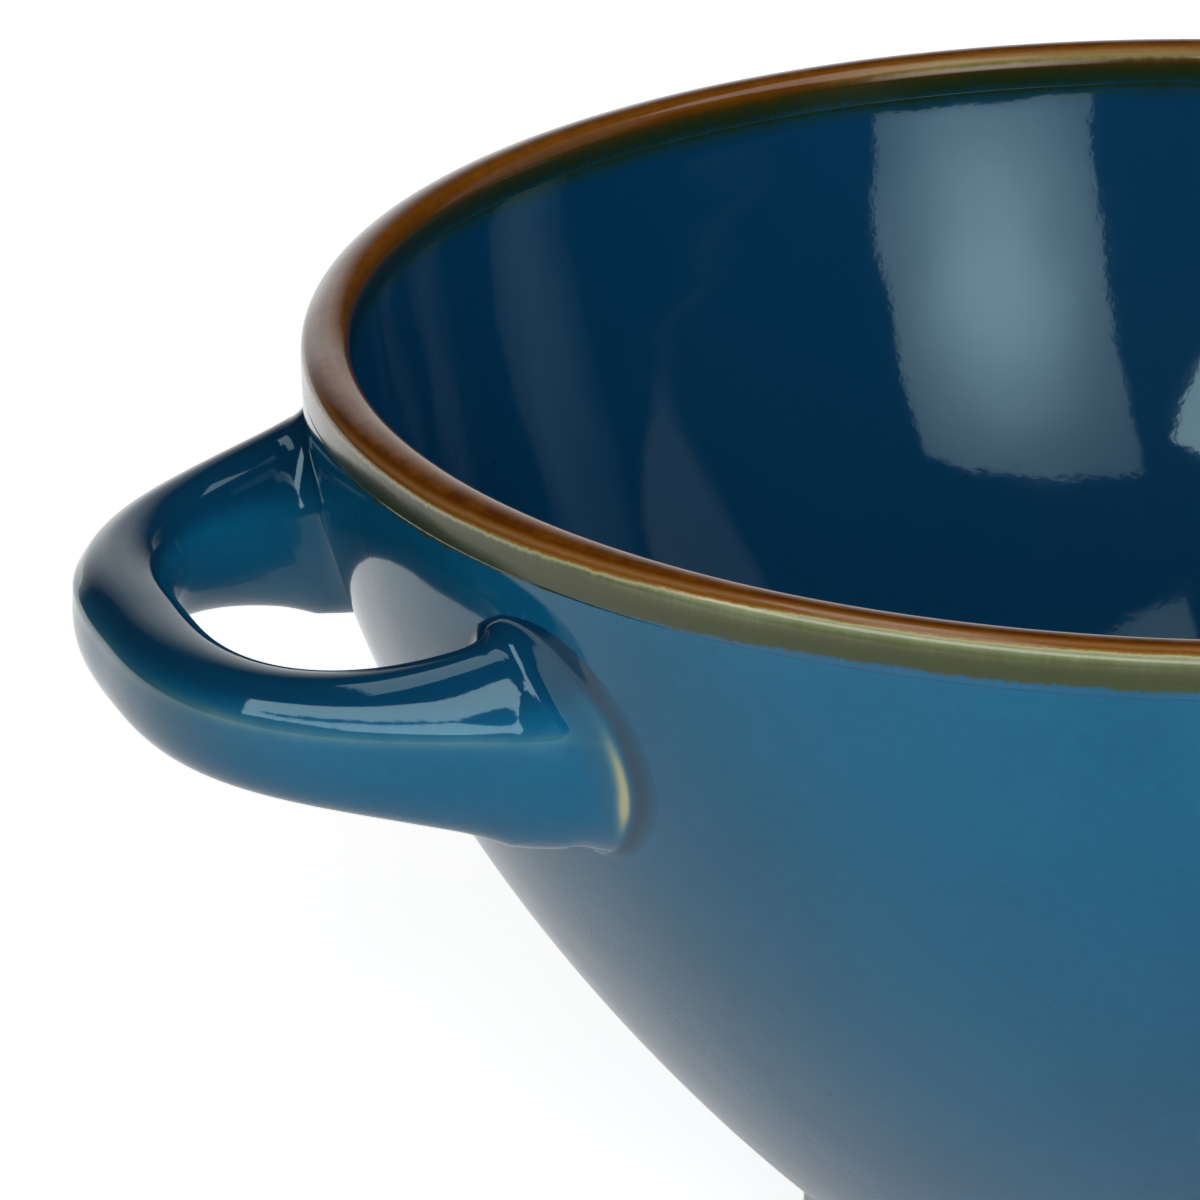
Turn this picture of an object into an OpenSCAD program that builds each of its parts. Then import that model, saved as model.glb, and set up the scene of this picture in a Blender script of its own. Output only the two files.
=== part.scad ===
// Soup bowl in glazed stoneware with two lug handles.
// Millimetres, +Z up. The bowl stands on Z = 0 with its axis on Z, and the handles lie along X.

/* [Bowl] */
// Diameter over the lip
rim_d = 140; // [120:1:160]
// Height from the table to the top of the lip
bowl_h = 75; // [65:1:90]
// Wall thickness where the bowl narrows
wall_t = 4; // [3.2:0.1:5]
// Floor thickness
floor_t = 5; // [4:0.1:7]
// Straight drop that the wall keeps below the lip before it turns in
shoulder_drop = 29.4; // [22:0.1:34]
// How far the wall swells past its own top
shoulder_swell = 1.6; // [0:0.1:3]
// Radius where the wall runs flat into the underside
heel_r = 29; // [26:0.5:31]
// How far the wall's curve leans on the heel before it rises
heel_lean = 2.5; // [1:0.1:6]
// How far the bore leans in below the lip, over the shoulder's drop
bore_lean = 4.4; // [0:0.1:6]
// Radius where the bore runs flat into the floor
floor_r = 24; // [20:0.5:26]
// Depth of the dish in the middle of the floor
floor_dish = 0.8; // [0:0.1:1.5]

/* [Lip] */
// Width of the lip, seen from above
lip_w = 3.7; // [3.2:0.1:4.4]
// How far the lip stands proud of the wall below it
lip_proud = 1; // [0.5:0.1:1.6]
// Radius of the lip's outer corner
lip_outer_r = 1.2; // [0.8:0.1:1.4]
// Radius of the lip's inner corner
lip_inner_r = 0.8; // [0.6:0.1:1.2]
// Height of the lip's straight outer side, from its top
lip_side_h = 1.7; // [1.5:0.1:2.2]
// Height over which the lip sweeps back to the wall
lip_sweep_h = 2.1; // [1.6:0.1:3]
// Thickness of the brown glaze coat
coat_t = 0.4; // [0.2:0.05:0.5]
// Drop of the brown coat on the inside, from the top of the lip
coat_inner_h = 3; // [2.2:0.1:3.4]

/* [Foot] */
// Outer radius of the foot ring
foot_r = 32; // [30.5:0.1:34]
// Width of the foot ring
foot_w = 5.5; // [4:0.1:7]
// Height of the recess inside the foot ring
foot_h = 5.3; // [4.5:0.1:8]
// Radius of the foot ring's two edges on the table
foot_edge_r = 1.2; // [0.5:0.1:1.6]
// How far the foot's outer side leans in towards its top
foot_lean = 0.5; // [0:0.1:1]

/* [Handles] */
// How far past the outside of the lip the middle of the grip reaches
grip_reach = 14.75; // [10:0.25:22]
// Distance between the middles of a handle's two arms
arm_spread = 51; // [44:0.5:56]
// How far inside the outside of the lip the handle's outline starts
arm_origin = 15.75; // [12:0.25:18]
// Squareness of the handle seen from above, where 2 is an ellipse
loop_square = 2.77; // [2.3:0.01:3.2]
// Drop from the top of the lip to the middle of the arms at the wall
arm_drop = 16.6; // [15:0.1:19]
// Further drop of the grip below the arms
grip_droop = 0.55; // [0:0.05:2]
// Height of the grip's section
grip_h = 9.2; // [7:0.1:11]
// Width of the grip's section
grip_w = 7.6; // [6:0.1:10]
// Height of an arm's section at the wall
root_h = 15.7; // [12:0.1:17]
// Width of an arm's section at the wall
root_w = 10.7; // [8:0.1:13]
// Squareness of the section, where 2 is an ellipse
section_square = 2.3; // [2:0.01:2.8]
// Distance from the wall at which the fillet that joins an arm to it starts
fillet_run = 4; // [2:0.1:5]
// Spread of that fillet over the wall
fillet_spread = 3; // [1:0.1:3.5]
// Height of the mould seam that runs round the middle of the handle
seam_h = 0.15; // [0:0.05:0.3]

/* [Hidden] */

$fn = 96;
wall_steps = 26;
corner_steps = 6;
sweep_steps = 6;
dish_steps = 5;
path_steps = 48;
section_steps = 28;
fillet_steps = 5;
halvings = 16;
overrun = 2;

// Depth to which the fillets are keyed into the wall before they are trimmed to it
fillet_key = 0.25;

rim_r = rim_d / 2;
wall_r = rim_r - lip_proud;
lip_bore_r = rim_r - lip_w;
lip_base_z = bowl_h - lip_side_h - lip_sweep_h;
coat_inner_z = bowl_h - coat_inner_h;

// Wall
// The outer wall is one cubic curve from under the lip to the flat underside.
wall_curve = [
    [wall_r, lip_base_z],
    [wall_r + shoulder_swell, lip_base_z - shoulder_drop],
    [heel_r + heel_lean, foot_h],
    [heel_r, foot_h]
];

function mix(a, b, t) = a + (b - a) * t;
function smooth(t) = t * t * (3 - 2 * t);
function clamp01(t) = min(1, max(0, t));
function signed_pow(v, e) = sign(v) * pow(abs(v), e);
function reversed(list) = [for (i = [len(list) - 1:-1:0]) list[i]];

function curve_at(c, t) =
    pow(1 - t, 3) * c[0] + 3 * pow(1 - t, 2) * t * c[1]
    + 3 * (1 - t) * t * t * c[2] + pow(t, 3) * c[3];

// Where a line from p along d crosses a line from q along e
function crossing(p, d, q, e) =
    p + d * ((q[0] - p[0]) * e[1] - (q[1] - p[1]) * e[0]) / (d[0] * e[1] - d[1] * e[0]);

// The bore's curve leans in from the lip, runs parallel to the wall's slope at the clay's
// thickness, and ends level with the floor.
upper_run = [-bore_lean, -shoulder_drop];
slope_run = wall_curve[2] - wall_curve[1];
slope_in = wall_curve[1] + wall_t * [slope_run[1], -slope_run[0]] / norm(slope_run);
bore_top = [lip_bore_r, lip_base_z];
bore_foot = [floor_r, foot_h + floor_t];
bore_curve = [
    bore_top,
    crossing(bore_top, upper_run, slope_in, slope_run),
    crossing(bore_foot, [floor_r, 0], slope_in, slope_run),
    bore_foot
];

wall_outline = [for (i = [0:wall_steps]) curve_at(wall_curve, i / wall_steps)];

bore_outline = [for (i = [0:wall_steps]) curve_at(bore_curve, i / wall_steps)];

dish_outline = [
    for (i = [1:dish_steps])
        let (t = i / dish_steps)
        [mix(floor_r, 0, t), foot_h + floor_t - floor_dish * smooth(t)]
];

// Lip
function arc_points(centre, r, a0, a1) = [
    for (i = [0:corner_steps])
        let (a = mix(a0, a1, i / corner_steps))
        centre + r * [cos(a), sin(a)]
];

// The lip's outline from outside to inside, drawn in by an inset
function lip_sweep(inset) = [
    for (i = [0:sweep_steps])
        let (t = i / sweep_steps)
        [wall_r + lip_proud * smooth(t) - inset, lip_base_z + lip_sweep_h * t]
];

function lip_outline(inset) = concat(
    lip_sweep(inset),
    arc_points([rim_r - lip_outer_r, bowl_h - lip_outer_r], lip_outer_r - inset, 0, 90),
    arc_points([lip_bore_r + lip_inner_r, bowl_h - lip_inner_r], lip_inner_r - inset, 90, 180),
    [[lip_bore_r + inset, coat_inner_z]]
);

// Radius of the bowl's outside at a height
radius_by_height = [for (p = concat(reversed(wall_outline), lip_sweep(0))) [p[1], p[0]]];
function outer_radius(z) = lookup(z, radius_by_height);

module revolve(points) {
    rotate_extrude() polygon(points);
}

// The space inside the bowl's outside, which foot and handles are fitted to
module bowl_envelope() {
    revolve(concat([[0, foot_h]], reversed(wall_outline), lip_outline(0), [[0, coat_inner_z]]));
}

module bowl_body() {
    color("#1f5a80")
        revolve(concat(
            [[0, foot_h]],
            reversed(wall_outline),
            lip_outline(coat_t),
            [[lip_bore_r, coat_inner_z]],
            bore_outline,
            dish_outline
        ));
}

// The brown coat lies in a rebate of its own thickness round the lip
module rim_glaze() {
    color("#7a3f12")
        revolve(concat(lip_outline(0), reversed(lip_outline(coat_t))));
}

// Foot
module foot_ring() {
    foot_top_z = foot_h + foot_w;
    foot_bore_r = foot_r - foot_w;
    outline = concat(
        [[foot_bore_r, foot_top_z]],
        arc_points([foot_bore_r + foot_edge_r, foot_edge_r], foot_edge_r, 180, 270),
        arc_points([foot_r - foot_edge_r, foot_edge_r], foot_edge_r, 270, 360),
        [[foot_r - foot_lean, foot_top_z]]
    );
    color("#c9b59a")
        difference() {
            revolve(outline);
            bowl_envelope();
        }
}

// Handles
// The middle line of a handle is a superellipse seen from above. The section swept along it is
// a superellipse too, which grows towards the wall and flares out over it in a fillet.
arm_z = bowl_h - arm_drop;
origin_u = rim_r - arm_origin;
grip_u = rim_r + grip_reach;
loop_depth = grip_u - origin_u;
taper_u = wall_r - wall_t;
corners = [0:section_steps - 1];

// How far from the wall to the grip a distance from the axis is, from 0 to 1
function outness(u) = clamp01((u - taper_u) / (grip_u - taper_u));

// The middle line at an angle, from -90 at one root over 0 at the grip to 90 at the other
function path_point(a) =
    let (
        u = origin_u + loop_depth * signed_pow(cos(a), 2 / loop_square),
        w = arm_spread / 2 * signed_pow(sin(a), 2 / loop_square)
    )
    [u, w, arm_z - grip_droop * outness(u)];

// Level direction across the middle line, away from the finger gap
function path_outward(a) =
    let (
        e = 2 - 2 / loop_square,
        d = [arm_spread / 2 * pow(cos(a), e), loop_depth * signed_pow(sin(a), e), 0]
    )
    d / norm(d);

// Half width and half height of the section
function section_half(u) =
    let (g = pow(1 - outness(u), 2))
    [mix(grip_w, root_w, g), mix(grip_h, root_h, g)] / 2;

// A corner of a section with half sizes of 1
function section_unit(j) =
    let (b = 360 * j / section_steps)
    [signed_pow(cos(b), 2 / section_square), signed_pow(sin(b), 2 / section_square)];

// The mould seam is a low ridge on the two corners at half height
function seam_at(j) = j % (section_steps / 2) == 0 ? seam_h : 0;

function section_point(a, j) =
    let (
        p = path_point(a),
        half = section_half(p[0]),
        unit = section_unit(j)
    )
    p + (half[0] + seam_at(j)) * unit[0] * path_outward(a) + [0, 0, half[1] * unit[1]];

// Direction that the handle's skin faces at a corner
function section_normal(a, j) =
    let (
        half = section_half(path_point(a)[0]),
        unit = section_unit(j),
        n = unit[0] / half[0] * path_outward(a) + [0, 0, unit[1] / half[1]]
    )
    n / norm(n);

// How far a point stands out from the bowl
function stand_off(p) = norm([p[0], p[1]]) - outer_radius(p[2]);

// The angle between lo and hi at which a corner's line comes down to a gap from the bowl
function angle_at_gap(j, gap, lo, hi, tries) =
    let (mid = (lo + hi) / 2)
    tries == 0 ? mid
    : stand_off(section_point(mid, j)) > gap ? angle_at_gap(j, gap, mid, hi, tries - 1)
    : angle_at_gap(j, gap, lo, mid, tries - 1);

start_angles = [for (j = corners) angle_at_gap(j, fillet_run, 0, 90, halvings)];
meet_angles = [for (j = corners) angle_at_gap(j, 0, 0, 90, halvings)];

// A point moved along its own radius to a depth under the bowl's outside
function on_wall(p, depth) =
    let (s = (outer_radius(p[2]) - depth) / norm([p[0], p[1]]))
    [p[0] * s, p[1] * s, p[2]];

// The fillet leaves along the arm and lands on the wall. side is -1 or 1, for the two arms.
function fillet_point(side, j, t) =
    let (
        start = section_point(side * start_angles[j], j),
        meet = section_point(side * meet_angles[j], j),
        facing = section_normal(side * meet_angles[j], j),
        land = on_wall(meet + fillet_spread * facing, fillet_key)
    )
    pow(1 - t, 2) * start + 2 * (1 - t) * t * meet + t * t * land;

function fillet_ring(side, t) = [for (j = corners) fillet_point(side, j, t)];

// Rings from inside the wall to the end of the fillet, which the arms then go on from
function root_rings(side) = concat(
    [[for (p = fillet_ring(side, 1)) on_wall(p, overrun)]],
    [for (i = [fillet_steps:-1:1]) fillet_ring(side, i / fillet_steps)]
);

function arm_rings() = [
    for (i = [0:path_steps])
        [for (j = corners) section_point(mix(-start_angles[j], start_angles[j], i / path_steps), j)]
];

// A closed skin over rings of equal length, with flat ends
module skin(rings) {
    n = len(rings[0]);
    last = len(rings) - 1;
    points = [for (ring = rings) for (p = ring) p];
    sides = [
        for (i = [0:last - 1])
            for (j = [0:n - 1])
                let (k = (j + 1) % n, a = i * n, b = (i + 1) * n)
                for (f = [[a + j, a + k, b + j], [a + k, b + k, b + j]]) f
    ];
    ends = [[for (j = [n - 1:-1:0]) j], [for (j = [0:n - 1]) last * n + j]];
    polyhedron(points, concat(sides, ends));
}

module lug_handle() {
    color("#1f5a80")
        difference() {
            skin(concat(root_rings(-1), arm_rings(), reversed(root_rings(1))));
            bowl_envelope();
        }
}

module right_handle() {
    lug_handle();
}

module left_handle() {
    mirror([1, 0, 0]) lug_handle();
}

bowl_body();
foot_ring();
rim_glaze();
left_handle();
right_handle();
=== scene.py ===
# %% [markdown]
# # A soup bowl with two lug handles
# The bowl is glazed stoneware: a turned body, two handles luted on, a foot ring, and a brown
# glaze dipped over the lip that turns olive where it runs over the blue. This file dresses the
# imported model, which gives every size and place, and lights it as the photograph is lit.

# %% Load the frame
import math

import bpy
import numpy as np
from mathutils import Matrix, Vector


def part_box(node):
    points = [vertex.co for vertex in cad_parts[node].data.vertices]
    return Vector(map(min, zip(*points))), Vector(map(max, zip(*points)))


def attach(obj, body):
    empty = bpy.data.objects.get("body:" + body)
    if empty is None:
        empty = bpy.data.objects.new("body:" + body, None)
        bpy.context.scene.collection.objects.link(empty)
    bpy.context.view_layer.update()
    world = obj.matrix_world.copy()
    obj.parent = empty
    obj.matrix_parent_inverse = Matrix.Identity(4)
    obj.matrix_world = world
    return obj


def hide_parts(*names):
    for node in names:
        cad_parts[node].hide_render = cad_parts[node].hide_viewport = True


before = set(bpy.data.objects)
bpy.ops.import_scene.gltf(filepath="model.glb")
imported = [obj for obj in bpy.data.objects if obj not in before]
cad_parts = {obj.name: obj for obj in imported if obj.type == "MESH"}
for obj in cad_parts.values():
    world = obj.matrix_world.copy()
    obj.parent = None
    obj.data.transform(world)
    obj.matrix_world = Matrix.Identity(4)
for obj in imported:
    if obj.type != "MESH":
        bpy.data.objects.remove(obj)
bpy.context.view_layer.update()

# %% [markdown]
# ## Sizes
# Everything is in metres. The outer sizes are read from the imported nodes, and the rest are the
# potter's own: how the wall leaves the lip, how the bore leans, how thick the clay is.

# %% Sizes of the bowl
MM = 0.001
lip_low, lip_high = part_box("rim_glaze")

RIM_R = lip_high.x
RIM_Z = lip_high.z
LIP_BASE_Z = lip_low.z
LIP_PROUD = 1.0 * MM
LIP_W = 3.7 * MM
LIP_CROWN_W = 2.0 * MM
LIP_INNER_H = 1.5 * MM
LIP_SWEEP_H = 2.1 * MM
LIP_SWELL_H = 8.0 * MM
SHOULDER_OUT = 0.55 * MM
SHOULDER_H = 25.0 * MM
COAT_T = 0.4 * MM
COAT_INNER_H = 3.0 * MM
WALL_R = RIM_R - LIP_PROUD
BORE_R = RIM_R - LIP_W

WALL_T = 4.0 * MM
SHOULDER_DROP = 29.4 * MM
SHOULDER_SWELL = 1.6 * MM
BORE_LEAN = 4.4 * MM
BORE_TOP_IN = 0.12 * MM
BORE_FULLER = 0.25 * MM
BORE_FULLER_H = 8.0 * MM
BORE_EASE_FROM = 7.0 * MM
BORE_EASE_H = 20.0 * MM
HEEL_R = 29.0 * MM
HEEL_LEAN = 2.5 * MM
FLOOR_R = 24.0 * MM
FLOOR_T = 5.0 * MM
FLOOR_DISH = 0.8 * MM
FOOT_H = 5.3 * MM
print("bowl:", round(2 * RIM_R / MM, 1), "mm over the lip,", round(RIM_Z / MM, 1), "mm high")

# %% Small helpers for outlines


def smooth(t):
    """An S-shaped ramp from 0 to 1."""
    return t * t * (3 - 2 * t)


def mix(a, b, t):
    """The value that lies t of the way from a to b."""
    return a + (b - a) * t


def bezier(points, steps):
    """Points along a cubic curve, given by its four control points."""
    p = np.array(points, float)
    t = np.linspace(0, 1, steps + 1)[:, None]
    return (1 - t) ** 3 * p[0] + 3 * (1 - t) ** 2 * t * p[1] + 3 * (1 - t) * t * t * p[2] + t**3 * p[3]


def arc(centre, radius, start, end, steps=12):
    """Points along an arc, with its angles in degrees, or along an oval of two radii."""
    a = np.radians(np.linspace(start, end, steps + 1))
    return np.array(centre) + radius * np.stack([np.cos(a), np.sin(a)], 1)


def crossing(p, d, q, e):
    """Where a line from p along d meets a line from q along e."""
    return p + d * ((q[0] - p[0]) * e[1] - (q[1] - p[1]) * e[0]) / (d[0] * e[1] - d[1] * e[0])


print("a quarter arc ends at", arc((0, 0), 1, 0, 90)[-1].round(3))

# %% [markdown]
# ## Outlines
# A thrown bowl is the same all the way round, so it is drawn as a potter's template: radius and
# height, from the outside over the lip to the inside. The wall is one long curve, the bore
# another that leans in from the lip, and the lip is a rounded bead that sweeps back to the
# wall. The curves could be drawn by hand in the viewport, but written from named lengths they
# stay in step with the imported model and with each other.

# %% Outline of the wall
OUTLINE_STEPS = 90
wall_points = np.array([
    (WALL_R, LIP_BASE_Z),
    (WALL_R + SHOULDER_SWELL, LIP_BASE_Z - SHOULDER_DROP),
    (HEEL_R + HEEL_LEAN, FOOT_H),
    (HEEL_R, FOOT_H),
])
wall = bezier(wall_points, OUTLINE_STEPS)


def lip_swell(z):
    """How far the outside has swelled into the bead of the lip at a height, from 0 to 1."""
    start = LIP_BASE_Z - LIP_SWELL_H
    return smooth(np.clip((z - start) / (LIP_SWELL_H + LIP_SWEEP_H), 0, 1))


# Below the lip the wall stands out a little, and then it swells into the bead of the lip
shoulder = smooth(np.clip(1 - (LIP_BASE_Z - wall[:, 1]) / SHOULDER_H, 0, 1))
wall[:, 0] += SHOULDER_OUT * shoulder + (LIP_PROUD - SHOULDER_OUT) * lip_swell(wall[:, 1])
print("wall:", round(float(wall[0, 0]) / MM, 1), "mm out under the lip,", HEEL_R / MM, "mm at the foot")

# %% Outline of the bore and the floor
slope = wall_points[2] - wall_points[1]
slope_in = wall_points[1] + WALL_T * np.array([slope[1], -slope[0]]) / np.linalg.norm(slope)
bore_top = np.array([BORE_R, LIP_BASE_Z])
bore_foot = np.array([FLOOR_R, FOOT_H + FLOOR_T])
bore = bezier([
    bore_top,
    crossing(bore_top, np.array([-BORE_LEAN, -SHOULDER_DROP]), slope_in, slope),
    crossing(bore_foot, np.array([1.0, 0.0]), slope_in, slope),
    bore_foot,
], OUTLINE_STEPS)
# Right under the lip the bore leans a little more, and further down it is back on its curve
down = LIP_BASE_Z - bore[:, 1]
fuller = BORE_TOP_IN + BORE_FULLER * (1 - (1 - np.clip(down / BORE_FULLER_H, 0, 1)) ** 2)
bore[:, 0] -= fuller * (1 - smooth(np.clip((down - BORE_EASE_FROM) / BORE_EASE_H, 0, 1)))
share = np.linspace(0, 1, 19)[1:]
dish = np.stack([mix(FLOOR_R, 0, share), FOOT_H + FLOOR_T - FLOOR_DISH * smooth(share)], 1)
print("bore:", round(BORE_R / MM, 1), "mm in radius at the lip,", FLOOR_R / MM, "mm at the floor")

# %% Outline of the lip
SWEEP_STEPS = 14
CROWN_STEPS = 20
# The point in the middle of the lip's outer curve, from which the glazes measure their distance
LIP_CORNER = SWEEP_STEPS + CROWN_STEPS // 2


def lip(inset):
    """The lip's outline from its base outside to the end of its coat inside, drawn in by inset."""
    t = np.linspace(0, 1, SWEEP_STEPS + 1)
    sweep_z = LIP_BASE_Z + LIP_SWEEP_H * t
    proud = SHOULDER_OUT + (LIP_PROUD - SHOULDER_OUT) * lip_swell(sweep_z)
    sweep = np.stack([WALL_R + proud - inset, sweep_z], 1)
    crown_r = RIM_R - LIP_CROWN_W
    outer_h = RIM_Z - LIP_BASE_Z - LIP_SWEEP_H
    outer_oval = np.array([LIP_CROWN_W, outer_h]) - inset
    outer = arc((crown_r, RIM_Z - outer_h), outer_oval, 0, 90, CROWN_STEPS)[1:]
    inner_oval = np.array([crown_r - BORE_R, LIP_INNER_H]) - inset
    inner = arc((crown_r, RIM_Z - LIP_INNER_H), inner_oval, 90, 180, CROWN_STEPS)[1:]
    drop = np.linspace(inner[-1], (BORE_R + inset, RIM_Z - COAT_INNER_H), 8)[1:]
    return np.concatenate([sweep, outer, inner, drop])


def runs(points, zero):
    """Distance along an outline from point number zero: plus before it, minus after it."""
    steps = np.linalg.norm(np.diff(points, axis=0), axis=1)
    along = np.concatenate([[0], np.cumsum(steps)])
    return along[zero] - along


print("lip:", round(float(np.ptp(runs(lip(0), LIP_CORNER))) / MM, 1), "mm round its outline")

# %% [markdown]
# ## Turning
# What a wheel does to clay, a node tree does to an outline: each point of the profile goes
# round the axis in even steps. A Screw modifier would turn it too, but the tree also carries
# each point's run, its distance from the lip, because the glazes are laid by that. It takes
# any outline, so the body, the lip's coat and the foot ring all come from it.

# %% Tools for node trees


def put(tree, made, **inputs):
    """Sets a node's inputs by name, or by number as _0. An output given as a value is linked."""
    for name, value in inputs.items():
        socket = made.inputs[int(name[1:])] if name[0] == "_" else made.inputs[name.replace("_", " ")]
        if isinstance(value, bpy.types.NodeSocket):
            tree.links.new(value, socket)
        else:
            socket.default_value = value
    return made


def node(tree, kind, **inputs):
    """A new node with its inputs set."""
    return put(tree, tree.nodes.new(kind), **inputs)


def maths(tree, operation, *values, clamp=False):
    """A Math node's output."""
    made = tree.nodes.new("ShaderNodeMath")
    made.operation = operation
    made.use_clamp = clamp
    return put(tree, made, **{f"_{i}": value for i, value in enumerate(values)}).outputs[0]


def times(tree, a, b):
    """The product of two values."""
    return maths(tree, "MULTIPLY", a, b)


def plus(tree, a, b):
    """The sum of two values."""
    return maths(tree, "ADD", a, b)


def times_plus(tree, a, b, c):
    """The product of two values, and a third added to it."""
    return maths(tree, "MULTIPLY_ADD", a, b, c)


def split(tree, vector):
    """A vector's values, to be taken by their axes' names."""
    return node(tree, "ShaderNodeSeparateXYZ", Vector=vector).outputs


# %% The turning tree
WELD = 0.001 * MM


def turning_tree():
    """A node tree that turns a profile of points round the Z axis."""
    tree = bpy.data.node_groups.new("turn_on_the_wheel", "GeometryNodeTree")
    face = tree.interface
    face.new_socket("Profile", in_out="INPUT", socket_type="NodeSocketGeometry")
    face.new_socket("Sides", in_out="INPUT", socket_type="NodeSocketInt").default_value = 96
    face.new_socket("Glaze", in_out="INPUT", socket_type="NodeSocketMaterial")
    face.new_socket("Turned", in_out="OUTPUT", socket_type="NodeSocketGeometry")
    given = tree.nodes.new("NodeGroupInput")
    profile = given.outputs["Profile"]
    size = node(tree, "GeometryNodeAttributeDomainSize", Geometry=profile)
    rows = size.outputs["Point Count"]
    columns = plus(tree, given.outputs["Sides"], 1)
    sheet = {"Size_X": 1.0, "Size_Y": 1.0, "Vertices_X": rows, "Vertices_Y": columns}
    grid = node(tree, "GeometryNodeMeshGrid", **sheet)
    position = tree.nodes.new("GeometryNodeInputPosition").outputs[0]
    place = split(tree, position)
    down = plus(tree, place["X"], 0.5)
    row = maths(tree, "ROUND", times(tree, down, maths(tree, "SUBTRACT", rows, 1)))
    angle = times(tree, plus(tree, place["Y"], 0.5), math.tau)

    def sampled(kind, value):
        pick = tree.nodes.new("GeometryNodeSampleIndex")
        pick.data_type = kind
        return put(tree, pick, Geometry=profile, Value=value, Index=row).outputs["Value"]

    at = split(tree, sampled("FLOAT_VECTOR", position))
    run = node(tree, "GeometryNodeInputNamedAttribute", Name="run")
    run.data_type = "FLOAT"
    turned = node(
        tree, "ShaderNodeCombineXYZ",
        X=times(tree, at["X"], maths(tree, "COSINE", angle)),
        Y=times(tree, at["X"], maths(tree, "SINE", angle)),
        Z=at["Z"],
    )
    keep = node(tree, "GeometryNodeStoreNamedAttribute", Geometry=grid.outputs["Mesh"], Name="run")
    keep.data_type = "FLOAT"
    put(tree, keep, Value=sampled("FLOAT", run.outputs["Attribute"]))
    moved = node(tree, "GeometryNodeSetPosition", Geometry=keep.outputs[0], Position=turned.outputs[0])
    closed = node(tree, "GeometryNodeMergeByDistance", Geometry=moved.outputs[0], Distance=WELD)
    even = node(tree, "GeometryNodeSetShadeSmooth", Geometry=closed.outputs[0])
    real = node(tree, "GeometryNodeRealizeInstances", Geometry=even.outputs[0])
    glaze = given.outputs["Glaze"]
    glazed = node(tree, "GeometryNodeSetMaterial", Geometry=real.outputs[0], Material=glaze)
    node(tree, "NodeGroupOutput", Turned=glazed.outputs[0])
    return tree


wheel = turning_tree()
print("tree:", wheel.name, "with", len(wheel.nodes), "nodes")

# %% Turn an outline into a piece
CORNER_EDGE = 0.03 * MM
SHARP_DEGREES = 50


def new_object(name, data):
    """An object in the scene, at the origin."""
    made = bpy.data.objects.new(name, data)
    bpy.context.scene.collection.objects.link(made)
    return made


def outward(mesh):
    """Turns the faces of a closed mesh to point out of its clay."""
    mesh.calc_loop_triangles()
    corners = np.empty(len(mesh.loop_triangles) * 3, int)
    mesh.loop_triangles.foreach_get("vertices", corners)
    points = np.empty(len(mesh.vertices) * 3)
    mesh.vertices.foreach_get("co", points)
    a, b, c = points.reshape(-1, 3)[corners.reshape(-1, 3)].transpose(1, 0, 2)
    volume = float(np.sum(a * np.cross(b, c))) / 6
    if volume < 0:
        mesh.flip_normals()
    return abs(volume)


def with_crisp_corners(outline, outline_runs):
    """The outline with a point close to either side of each sharp corner, to keep it crisp."""
    steps = np.linalg.norm(np.diff(outline, axis=0), axis=1)
    ways = np.diff(outline, axis=0) / steps[:, None]
    length = np.concatenate([[0], np.cumsum(steps)])
    turns = np.sum(ways[1:] * ways[:-1], axis=1)
    sharp = length[1:-1][turns < math.cos(math.radians(SHARP_DEGREES))]
    near = np.concatenate([sharp - CORNER_EDGE, sharp + CORNER_EDGE])
    every = np.unique(np.concatenate([length, near]))
    r, z, run = (np.interp(every, length, v) for v in (outline[:, 0], outline[:, 1], outline_runs))
    return np.stack([r, z], 1), run


def turn(name, outline, outline_runs, sides, glaze):
    """A piece made by turning an outline, finished as a plain mesh."""
    outline, outline_runs = with_crisp_corners(outline, outline_runs)
    mesh = bpy.data.meshes.new(name + "_profile")
    points = [(r, 0.0, z) for r, z in outline]
    mesh.from_pydata(points, [(i, i + 1) for i in range(len(points) - 1)], [])
    run = mesh.attributes.new("run", "FLOAT", "POINT")
    run.data.foreach_set("value", np.array(outline_runs, np.float32))
    profile = new_object(name + "_profile", mesh)
    made = profile.modifiers.new("wheel", "NODES")
    made.node_group = wheel
    sockets = {s.name: s.identifier for s in wheel.interface.items_tree if s.in_out == "INPUT"}
    made[sockets["Sides"]] = sides
    made[sockets["Glaze"]] = glaze
    ready = profile.evaluated_get(bpy.context.evaluated_depsgraph_get())
    result = bpy.data.meshes.new_from_object(ready)
    result.name = name
    bpy.data.objects.remove(profile)
    piece = new_object(name, result)
    volume = outward(result)
    print(name + ":", len(result.polygons), "faces,", round(volume * 1e6, 1), "ml of clay")
    return piece


# %% [markdown]
# ## Glazes
# The blue is a dark, glassy glaze: most of what shows on it is what it mirrors, over a deep
# blue that turns paler and greener where it thins over an edge. Inside the bowl and on the
# handles' tops the blue is painted darker, as shade. The second glaze is amber to brown where it
# lies thick on the lip, cream where it breaks over the lip's corners, and olive where it melts
# into the blue, with an edge drawn down in fine runs; its tan and pale green bands are partly a
# painted sheen. A picture wrapped round the bowl could show this too, but it would blur close
# up, so the colours are worked out from each point's distance from the lip. Three groups do
# that: the blue's colour with its painted shade, the runs of the second glaze over it, and the
# ripple of the surface.

# %% A group with named sockets


def group(name, ins, outs):
    """A shader node group with sockets given as (name, kind, value), and its two ends."""
    tree = bpy.data.node_groups.new(name, "ShaderNodeTree")
    for label, kind, value in ins:
        socket = tree.interface.new_socket(label, in_out="INPUT", socket_type="NodeSocket" + kind)
        socket.default_value = value
    for label, kind in outs:
        tree.interface.new_socket(label, in_out="OUTPUT", socket_type="NodeSocket" + kind)
    return tree, tree.nodes.new("NodeGroupInput"), tree.nodes.new("NodeGroupOutput")


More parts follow.
